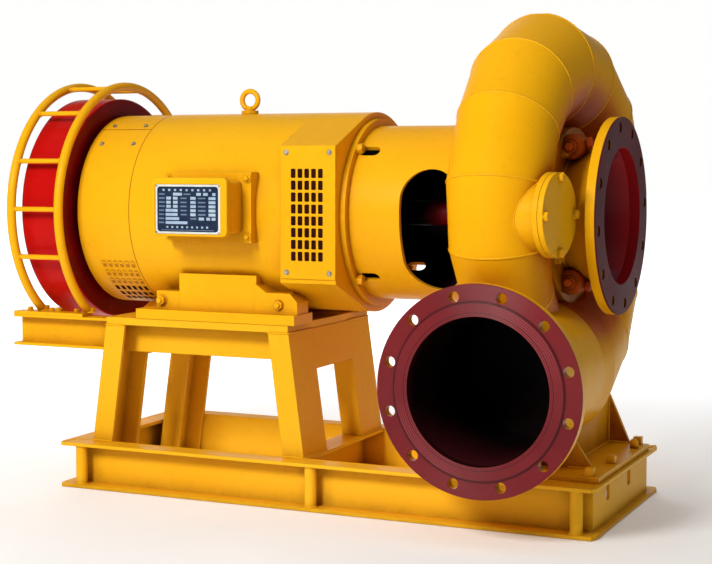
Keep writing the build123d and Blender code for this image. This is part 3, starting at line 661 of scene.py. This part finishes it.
def outside(p):
    """distance of a point outside the near facets of the spiral case"""
    a = math.degrees(math.atan2(p.z - SZ, -p.y))
    for q0, q1 in zip(SEAMS[:-1], SEAMS[1:]):
        if q0[0] <= a <= q1[0]:
            c0, r0 = seam_centre(q0)
            c1, r1 = seam_centre(q1)
            u = (c1 - c0).normalized()
            t = (p - c0).dot(u)
            f = t / (c1 - c0).length
            return (p - c0 - u * t).length - (r0 + (r1 - r0) * f)
    return 1.0


pts = []
for i in range(96):
    ph = 2 * pi * i / 96
    side = (ht * cos(ph) + Vector((0, 0, 1)) * sin(ph)) * 78.0
    lo_t, hi_t = 0.0, 95.0
    for _ in range(30):
        mid = (lo_t + hi_t) / 2
        if outside(HO + hn * mid + side) > 0:
            hi_t = mid
        else:
            lo_t = mid
    pts.append(HO + hn * hi_t + side)
bead(P, pts, 1.6, closed=True)
# ring weld behind the hand hole's flange
bead(P, [HO + hn * 94.5 + (ht * cos(2 * pi * i / 72) + Vector((0, 0, 1)) * sin(2 * pi * i / 72)) * 78.5 for i in range(72)], 2.4, closed=True)
P.done()

P = Piece("handhole_bolts", slot="yellow_paint")
for k in range(4):
    a = rad(90 * k)
    d = Vector((0, 0, 1)) * cos(a) - ht * sin(a)
    P.bolt(fr(HO + hn * 120.0 + d * 78.5, hn, d), 19, 8, yellow, (11.5, 1.6))
P.done()

# ------------------------------------------------------------------ lantern flange bolts
P = Piece("lantern_flange_bolts", slot="yellow_paint")
for a in (45, 135, 225, 315):
    d = Vector((0, cos(rad(a)), sin(rad(a))))
    P.bolt(fr(Vector((72, 0, SZ)) + d * 215, (1, 0, 0), d), 22, 12, yellow, (13, 2))
P.done()


# ------------------------------------------------------------------ ventilation plates with real slots
def slot_hit(w, h, a, r=2.6):
    """distance from the centre of an upright slot (w wide, h high, rounded corners) to its edge along angle a"""
    c, s = abs(cos(a)), abs(sin(a))
    t = min(w / 2 / c if c > 1e-9 else 1e9, h / 2 / s if s > 1e-9 else 1e9)
    ex, ey = w / 2 - r, h / 2 - r
    if t * c > ex and t * s > ey:
        b = c * ex + s * ey
        t = b + math.sqrt(max(b * b - (ex * ex + ey * ey - r * r), 0.0))
    return t


def slotted(piece, x0, x1, z0, z1, cells_x, cells_z, w, h, t, mtx, mat, inner):
    """plate in local x/y with a grid of upright slots; cells_x, cells_z are the cell edges"""
    def quad(a, b, c, d):
        for z, flip in ((t, False), (0.0, True)):
            f = (0, 1, 2, 3)
            piece.add([(a, c, z), (b, c, z), (b, d, z), (a, d, z)], [f[::-1] if flip else f], mat, mtx)
    cx0, cx1, cz0, cz1 = cells_x[0], cells_x[-1], cells_z[0], cells_z[-1]
    quad(x0, x1, z0, cz0)
    quad(x0, x1, cz1, z1)
    quad(x0, cx0, cz0, cz1)
    quad(cx1, x1, cz0, cz1)
    edge = [(x0, z0), (x1, z0), (x1, z1), (x0, z1)]
    piece.add([(a, b, z) for z in (0.0, t) for a, b in edge], [(i, (i + 1) % 4, 4 + (i + 1) % 4, 4 + i) for i in range(4)], mat, mtx)
    for xa, xb in zip(cells_x[:-1], cells_x[1:]):
        for za, zb in zip(cells_z[:-1], cells_z[1:]):
            cw, chh = xb - xa, zb - za
            mx, mz = (xa + xb) / 2, (za + zb) / 2
            corner = math.atan2(chh, cw)
            kk = [math.atan2(h / 2 - 2.6, w / 2), math.atan2(h / 2 - 0.8, w / 2 - 0.8), math.atan2(h / 2, w / 2 - 2.6), corner]
            angs = sorted({round(v % (2 * pi), 6) for q in kk + [0.0, 0.5, pi / 2] for v in (q, pi - q, pi + q, -q)})
            n = len(angs)
            ins, outs = [], []
            for a in angs:
                c, s = cos(a), sin(a)
                tt = min(cw / 2 / abs(c) if abs(c) > 1e-9 else 1e9, chh / 2 / abs(s) if abs(s) > 1e-9 else 1e9)
                outs.append((mx + c * tt, mz + s * tt))
                q = slot_hit(w, h, a)
                ins.append((mx + c * q, mz + s * q))
            verts = [(p[0], p[1], t) for p in outs] + [(p[0], p[1], t) for p in ins] + [(p[0], p[1], 0.0) for p in ins] + \
                    [(p[0], p[1], 0.0) for p in outs]
            faces = []
            for i in range(n):
                j = (i + 1) % n
                faces.append((i, j, n + j, n + i))
                faces.append((2 * n + i, 2 * n + j, 3 * n + j, 3 * n + i))
            piece.add(verts, faces, mat, mtx)
            piece.add(verts, [(n + i, n + (i + 1) % n, 2 * n + (i + 1) % n, 2 * n + i) for i in range(n)], inner, mtx)


for side, nm in ((-1, "front"), (1, "back")):
    P = Piece("vent_plate_" + nm, slot="yellow_paint")
    xd = (1, 0, 0) if side < 0 else (-1, 0, 0)
    M0 = fr((-12.0, side * 243.0, 683.0), (0, side, 0), xd)
    M0 = Matrix(((xd[0], 0, 0, -12.0), (0, 0, side, side * 243.4), (0, 1, 0, 683.0), (0, 0, 0, 1)))
    cx = [-45.5 + i * 86.4 / 5 for i in range(6)]
    cz = [-115 + i * 217.7 / 8 for i in range(9)]
    # painted shade: the walls of the slots are painted dark brown
    slotted(P, -70, 70, -153, 153, cx, cz, 11.8, 21.2, 2.6, M0, yellow, slot_wall_shade)
    # corner screws and a rolled lip under the plate
    for sx in (-1, 1):
        for szz in (-1, 1):
            P.bolt(M0 @ Matrix.Translation((sx * 54.5, -0.5 + (137.5 if szz > 0 else -138.5), 2.6)), 8.5, 3.2, zinc, (6.5, 1))
    P.box(140, 10, 3.2, yellow, M0 @ Matrix.Translation((0, -149, 0)), 1.0)
    o = P.done()
    if side < 0:
        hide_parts("vent_plates")
    # painted shade: a dark sheet behind the slots stands in for the shade inside the housing
    B = Piece("vent_shade_sheet_" + nm, slot="yellow_paint")
    B.box(128, 246, 0.35, shade_backing_and_rubber, M0 @ Matrix.Translation((0, -1, -0.38)), 0.05)
    B.done()

# ------------------------------------------------------------------ generator: screws, joints, perforations
P = Piece("generator_cover_screws", slot="yellow_paint")
RC = GEN_R - 1.5
for a in (61.5, 43.7, 118.5, 136.3):
    d = Vector((0, -cos(rad(a)), sin(rad(a))))
    for x in (-616.0, -524.5):
        P.bolt(fr(Vector((x, 0, SZ)) + d * (RC - 0.2), d, (1, 0, 0)), 8, 3.2, zinc, (6, 1))
P.done()

# inspection lid on the end cover: its lower edge is a straight joint along the shaft
P = Piece("end_cover_lid_joint", slot="yellow_paint")
for sgn in (-1, 1):
    d = Vector((0, sgn * cos(rad(57.3)), sin(rad(57.3))))
    M1 = fr(Vector((-571.0, 0, SZ)) + d * (RC - 0.1), d, (1, 0, 0))
    P.loft([rect(146, 2.4, 1.0, 0.0), rect(146, 2.4, 1.0, 0.35)], groove, M1, cap0=False)
P.done()

# rows of small upright openings low on both sides of the end cover
P = Piece("end_cover_slots", slot="yellow_paint")
for sgn in (-1, 1):
    for row in range(6):
        a = rad(-33 - 7.0 * row)
        d = Vector((0, sgn * cos(a), sin(a)))
        for i in range(6):
            M1 = fr(Vector((-594.0 + i * 16.6, 0, SZ)) + d * (RC - 0.15), d, (1, 0, 0))
            st = [(v[0], v[1], 0) for v in rect(9.6, 19.0, 1.8, 0, 3)]
            rim = [(v[0] * 1.16, v[1] * 1.08, 0.0) for v in st]
            P.loft([rim, [(q[0], q[1], 1.0) for q in rim], [(q[0], q[1], 1.0) for q in st], [(q[0], q[1], 0.45) for q in st]], yellow, M1, cap0=False, cap1=False)
            # painted shade: the backs of the openings are painted orange-brown in the upper rows and near-black in the
            # lower ones
            P.loft([[(q[0], q[1], 0.38) for q in st], [(q[0], q[1], 0.46) for q in st]], opening_back_shade if row < 3 else shade_backing_and_rubber, M1, cap0=False)
            if row < 3:
                # a slanted blade in each of the upper openings
                P.loft([[(q[0] * 0.86, q[1] * 0.34 + 3.2, 0.46) for q in st], [(q[0] * 0.86, q[1] * 0.18 + 5.0, 0.95) for q in st]], yellow, M1, cap0=False)
P.done()

# joint line round the body where the end cover band slips over
P = Piece("generator_joint_lines", slot="yellow_paint")
for x, w in ((-497.0, 1.8),):
    n = 128
    rr = GEN_R + 0.3
    P.loft([[(x - w / 2, rr * cos(2 * pi * i / n), SZ + rr * sin(2 * pi * i / n)) for i in range(n)],
            [(x + w / 2, rr * cos(2 * pi * i / n), SZ + rr * sin(2 * pi * i / n)) for i in range(n)]], groove, None, cap0=False, cap1=False)
P.done()

# ------------------------------------------------------------------ terminal box: nameplate and screws
P = Piece("nameplate_panel", slot="nameplate_blue")
M2 = Matrix(((1, 0, 0, -273.0), (0, 0, -1, -341.5), (0, 1, 0, 689.5), (0, 0, 0, 1)))
P.loft([rect(161, 104, 7, 0), rect(161, 104, 7, 0.5), rect(160, 103, 6.5, 0.7)], blue, M2)


def blank(x0, x1, y, h, mat=None):
    P.box(x1 - x0, h, 0.35, mat or cell, M2 @ Matrix.Translation(((x0 + x1) / 2, y, 0.65)), 0.1)


# plain marks along the top and the foot; between them rows of dim labels and blank light cells
for i in range(9):
    blank(-66 + i * 15.4, -66 + i * 15.4 + 5.4, 44.0, 4.6)
light_cells = [
    ((-38, -14), (24, 36), (42, 54), (66, 74)), ((-56, -44), (-38, -26), (8, 22), (56, 74)), ((-56, -44), (-38, -26), (8, 22), (56, 74)),
    ((-56, -44), (-38, -26), (8, 22), (56, 74)), ((-58, -26), (8, 22), (56, 74)), ((-58, -26), (8, 22), (56, 74)),
    ((-58, -22), (30, 44), (50, 60), (64, 74)), ((-58, 0),)]
dim_cells = [((-76, -60), (-10, 8)), ((-76, -60), (-18, -2), (28, 48)), ((-76, -60), (-18, -2), (28, 48)), ((-76, -60), (-18, -2), (28, 48)),
             ((-76, -62), (-18, -2), (28, 48)), ((-76, -62), (-18, -2), (28, 48)), ((-76, -62), (8, 24)), ((-76, -62),)]
for k in range(8):
    y = 34.5 - k * 9.4
    for x0, x1 in light_cells[k]:
        blank(x0, x1, y, 6.6)
    for x0, x1 in dim_cells[k]:
        blank(x0, x1, y, 3.4, cell_dim)
for i in range(9):
    blank(-56 + i * 13.2, -56 + i * 13.2 + 5.0, -41.5, 4.4)
blank(-70, 70, -48.4, 1.6, cell_dim)
for sx in (-1, 1):
    for szz in (-1, 1):
        P.cyl(2.4, 1.4, zinc, M2 @ Matrix.Translation((sx * 82.6, szz * 53.6, 0)), 16)
P.done()

# moulded lip of the lid round the plate
P = Piece("terminal_lid_lip", slot="yellow_paint")
lip = lambda w, h, r, z, dx=4.0, dy=5.0: [(v[0] + dx, v[1] + dy, z) for v in rect(w, h, r, z, 6)]
P.loft([lip(200, 136, 13, -13), lip(200, 136, 13, 0), lip(198.6, 134.6, 12.5, 1.4), lip(196, 132, 11, 2.2), lip(175, 117, 7, 2.2, 0, 0),
        lip(173, 115, 6, 1.2, 0, 0), lip(173, 115, 6, -0.6, 0, 0), lip(186, 118, 6, -13, 4, 3)], yellow, M2, closed=True)
P.done()

P = Piece("terminal_box_lugs", slot="yellow_paint")
for x, z in ((-160, 760), (-160, 624), (-372, 760), (-372, 624)):
    P.cyl(10, 3, yellow, fr((x, -262, z), (0, -1, 0), (1, 0, 0)), 20)
    P.bolt(fr((x, -265, z), (0, -1, 0), (1, 0, 0)), 11, 6, yellow)
# rubber joint between the box and its lid
P.loft([[(v[0], v[1], 0) for v in rect(190, 122, 8, 0)], [(v[0], v[1], 1.2) for v in rect(190, 122, 8, 0)]], shade_backing_and_rubber,
       Matrix(((1, 0, 0, -268.0), (0, 0, -1, -325.2), (0, 1, 0, 693.0), (0, 0, 0, 1))), cap0=False, cap1=False)
P.done()

# ------------------------------------------------------------------ feet and base bolts
P = Piece("foot_bolts", slot="yellow_paint")
for sy in (-1, 1):
    for x in (-425.0, -106.0):
        y = 205.0 if x < -200 else 208.0
        P.bolt(fr((x, sy * (y if x < -200 else y - 5), 463), (0, sy, 0), (0, 0, 1)), 21, 11, yellow, (14, 2), stud=True)
P.done()

P = Piece("turbine_base_blocks", slot="yellow_paint")
for x, y, w in ((645, -207, 19), (650, -51, 19), (430, -207, 19), (430, 207, 19), (645, 207, 19)):
    P.box(w, w, 18, yellow, Matrix.Translation((x, y, 124)), 1.4)
P.loft([ring(24, 10, 124), ring(24, 10, 138), ring(24, 8.6, 143), ring(24, 5, 145.5), ring(24, 1, 146.4)], yellow,
       Matrix.Translation((650, 151, 0)), smooth=True)
P.done()

P = Piece("guard_foot_bolts", slot="yellow_paint")
for sy in (-1, 1):
    for x in (-820, -755, -735, -680):
        P.bolt(fr((x, sy * 196, 422), (0, 0, 1)), 13, 7, yellow, (9, 1.5))
P.done()

# twelve studs with nuts on the draft cover, and a plugged pipe tee above and below the cone
P = Piece("draft_cover_nuts", slot="yellow_paint")
for i in range(12):
    a = rad(i * 30.0 + 3.0)
    C = Vector((545.0, -168.0 * sin(a), SZ + 168.0 * cos(a)))
    P.bolt(fr(C, (1, 0, 0)), 19, 12, yellow, (12.5, 2), stud=True)
P.done()

P = Piece("case_tees", slot="yellow_paint")
for up in (1, -1):
    zc = SZ + (155.0 if up > 0 else -146.0)
    A = Vector((563.0, -98.0, zc))
    T0 = fr(A + Vector((0, 62, 0)), (0, -1, 0), (1, 0, 0))
    P.loft([ring(40, 24, 0), ring(40, 28, 3), ring(40, 29, 8), ring(40, 29, 50), ring(40, 27, 56), ring(40, 20, 60)], tee_paint, T0, smooth=False)
    P.loft([ring(28, 15, 60), ring(28, 15, 66), ring(28, 13.5, 67)], tee_paint, T0)
    P.loft([hexa(24, 16, 67), hexa(24, 16, 75), ring(24, 7, 77)], orange, T0)
    S0 = fr(A + Vector((10, 36, 6 * up)), (1, 0.06, 0.12 * up))
    P.cyl(9, 20, orange, S0, 20, 0.8)
    P.loft([hexa(24, 23, 19), hexa(24, 23, 29), ring(24, 10.5, 30.5)], orange, S0)
P.done()

# weld beads of the frame, the stand, the posts, the ribs and the guard
P = Piece("frame_welds", slot="yellow_paint")


def circle(c, n, r, m=28):
    M = fr(c, n)
    return [M @ Vector(q) for q in ring(m, r, 0)]


for sy in (-1, 1):
    for x in (-622.0, 3.0, 632.0):
        for z in (8.8, 101.2):
            bead(P, circle((x, sy * 264.0, z), (0, 0, 1), 14.6), 2.0, closed=True)
    # mitres of the rails and the end beams, and the inner corner between leg and rail
    for sx in (-1, 1):
        bead(P, [(sx * 660, sy * 234, 110), (sx * 670, sy * 281, 110)], 1.3)
    bead(P, [(-658, sy * 228.6, 110), (658, sy * 228.6, 110)], 1.0)
    for x in (-680, -812):
        bead(P, [(x, sy * 188.4, 421.6), (x + 12, sy * 188.4, 421.6)], 1.6)


def leg_x(z, side):
    t = (z - 110.0) / 308.0
    return -322.0 + side * (290.0 + (248.0 - 290.0) * t)


for side in (-1, 1):
    for sy in (-1, 1):
        xt = leg_x(400.0, side)
        bead(P, [(xt, sy * 228.4, 399.4), (xt - side * 54, sy * 228.4, 399.4)], 2.4)
        bead(P, [(xt + side * 0.4, sy * 228, 399.4), (xt + side * 0.4, sy * 102, 399.4)], 2.2)
        xb = leg_x(110.0, side)
        bead(P, [(xb, sy * 227.6, 110.6), (xb - side * 54, sy * 227.6, 110.6)], 2.4)
        if side > 0:
            bead(P, [(xb + 0.6, sy * 228, 110.6), (xb + 0.6, sy * 102, 110.6)], 2.2)
# turbine support: plate feet and ribs
bead(P, [(572.8, -124.4, 125), (572.8, 209.4, 125)], 2.6)
bead(P, [(573, -137.6, 125), (629, -137.6, 125)], 2.4)
bead(P, [(573, -124.4, 125), (629, -124.4, 125)], 2.4)
bead(P, [(572.8, -124.4, 125), (572.8, -124.4, 192)], 2.4)
bead(P, [(573, 209.4, 125), (621, 209.4, 125)], 2.4)
bead(P, [(572.8, 209.4, 125), (572.8, 209.4, 235)], 2.4)
bead(P, [(419.5, -220, 110.8), (419.5, 220, 110.8)], 2.2)
for x in (-788.0, -650.0):
    for sy in (-1, 1):
        yy = math.sqrt(314.0 ** 2 - (423.0 - SZ) ** 2)
        bead(P, circle((x, sy * yy, 422.8), (0, 0, 1), 15.6), 1.9, closed=True)
for a in (-21, 1, 23, 50, 77, 103, 130, 157, 179, 201):
    c = Vector((0, -314 * cos(rad(a)), SZ + 314 * sin(rad(a))))
    for x, n in ((-777.6, 1), (-660.4, -1)):
        bead(P, circle(Vector((x, c.y, c.z)), (n, 0, 0), 6.6, 18), 1.8, closed=True)
# draft cone and inlet pipe to their flanges
bead(P, circle((632.4, 0, SZ), (1, 0, 0), 170.6, 120), 2.8, closed=True)
bead(P, circle((546.0, 0, SZ), (1, 0, 0), 131.4, 100), 2.6, closed=True)
bead(P, circle((SP_X, -443.4, IN_Z), (0, 1, 0), 163.6, 110), 2.8, closed=True)
P.done()

# ------------------------------------------------------------------ stage, lights, camera
def look(o, target):
    d = Vector(target) - o.location
    o.rotation_euler = d.to_track_quat("-Z", "Y").to_euler()


me = bpy.data.meshes.new("studio_floor")
me.from_pydata([(-30, -30, -0.001), (30, -30, -0.001), (30, 30, -0.001), (-30, 30, -0.001)], [], [(0, 1, 2, 3)])
floor = bpy.data.objects.new("studio_floor", me)
bpy.context.scene.collection.objects.link(floor)
k = Nodes("floor_white")
k.l(k.mix(k.grey(k.noise(1.3, 3.0), 0.4, 0.6), (0.86, 0.86, 0.86, 1), (0.90, 0.90, 0.895, 1)), k.b.inputs["Base Color"])
k.b.inputs["Roughness"].default_value = 0.9
k.b.inputs["Specular IOR Level"].default_value = 0.05
k.b.inputs["Emission Color"].default_value = (1.0, 1.0, 1.0, 1.0)
# the floor glows: faintly near the set and nearly white towards the back, in a band round the camera's line of sight,
# so that it runs into the white backdrop
o = k.xyz()
back = k.math("ADD", k.math("MULTIPLY", o[0], -0.417), k.math("MULTIPLY", o[1], 0.909))
dx, dy = k.math("SUBTRACT", o[0], 1.568), k.math("SUBTRACT", o[1], -3.469)
ln = k.math("SQRT", k.math("ADD", k.math("MULTIPLY", dx, dx), k.math("MULTIPLY", dy, dy)))
ax = k.math("DIVIDE", k.math("ADD", k.math("MULTIPLY", dx, -0.417), k.math("MULTIPLY", dy, 0.909)), ln)
strip = k.grey(ax, 0.90, 0.965, 0.30, 1.0)
k.l(k.math("MULTIPLY", k.grey(back, -0.4, 3.6, 0.14, 0.95), strip), k.b.inputs["Emission Strength"])
me.materials.append(k.m)

world = bpy.data.worlds.new("studio")
bpy.context.scene.world = world
world.use_nodes = True
wt = world.node_tree
bg = wt.nodes["Background"]
tc = wt.nodes.new("ShaderNodeTexCoord")
dot = wt.nodes.new("ShaderNodeVectorMath")
dot.operation = "DOT_PRODUCT"
dot.inputs[1].default_value = (-0.417, 0.909, 0.0)
wt.links.new(tc.outputs["Generated"], dot.inputs[0])
rmp = wt.nodes.new("ShaderNodeMapRange")
for i, v in enumerate((0.87, 0.962, 0.20, 1.0)):
    rmp.inputs[1 + i].default_value = v
wt.links.new(dot.outputs["Value"], rmp.inputs[0])
sep = wt.nodes.new("ShaderNodeSeparateXYZ")
wt.links.new(tc.outputs["Generated"], sep.inputs[0])
zen = wt.nodes.new("ShaderNodeMapRange")
for i, v in enumerate((0.35, 0.95, 0.0, 0.50)):
    zen.inputs[1 + i].default_value = v
wt.links.new(sep.outputs["Z"], zen.inputs[0])
both = wt.nodes.new("ShaderNodeMath")
both.operation = "MAXIMUM"
wt.links.new(rmp.outputs[0], both.inputs[0])
wt.links.new(zen.outputs[0], both.inputs[1])
tint = wt.nodes.new("ShaderNodeVectorMath")
tint.operation = "SCALE"
tint.inputs[0].default_value = (1.0, 0.997, 0.99)
wt.links.new(both.outputs[0], tint.inputs["Scale"])
wt.links.new(tint.outputs[0], bg.inputs[0])
bg.inputs[1].default_value = 1.0


def area(name, loc, target, size, power, colour=(1, 1, 1)):
    d = bpy.data.lights.new(name, "AREA")
    d.shape = "RECTANGLE"
    d.size, d.size_y = size
    d.energy = power
    d.color = colour
    o = bpy.data.objects.new(name, d)
    bpy.context.scene.collection.objects.link(o)
    o.location = loc
    look(o, target)
    return o


area("key", (-0.45, -4.0, 2.55), (0.0, 0.0, 0.55), (1.0, 1.0), 156, (1.0, 0.99, 0.97))
area("back", (-2.4, 3.6, 2.6), (0.0, 0.0, 0.6), (2.0, 2.0), 70, (1.0, 0.99, 0.97)).visible_glossy = False

cam_d = bpy.data.cameras.new("camera")
cam = bpy.data.objects.new("camera", cam_d)
bpy.context.scene.collection.objects.link(cam)
cam.location = (1.5682, -3.4689, 0.8092)
cam.rotation_euler = (rad(90 - 3.052), 0.0, rad(24.654))
cam_d.sensor_width = 36.0
cam_d.lens = 1569.88 / 712 * 36.0
cam_d.shift_x = 0.0115
cam_d.shift_y = -0.0578
cam_d.clip_start = 0.05
cam_d.clip_end = 100.0
bpy.context.scene.camera = cam
bpy.context.scene.view_settings.view_transform = "Standard"

bpy.context.view_layer.update()
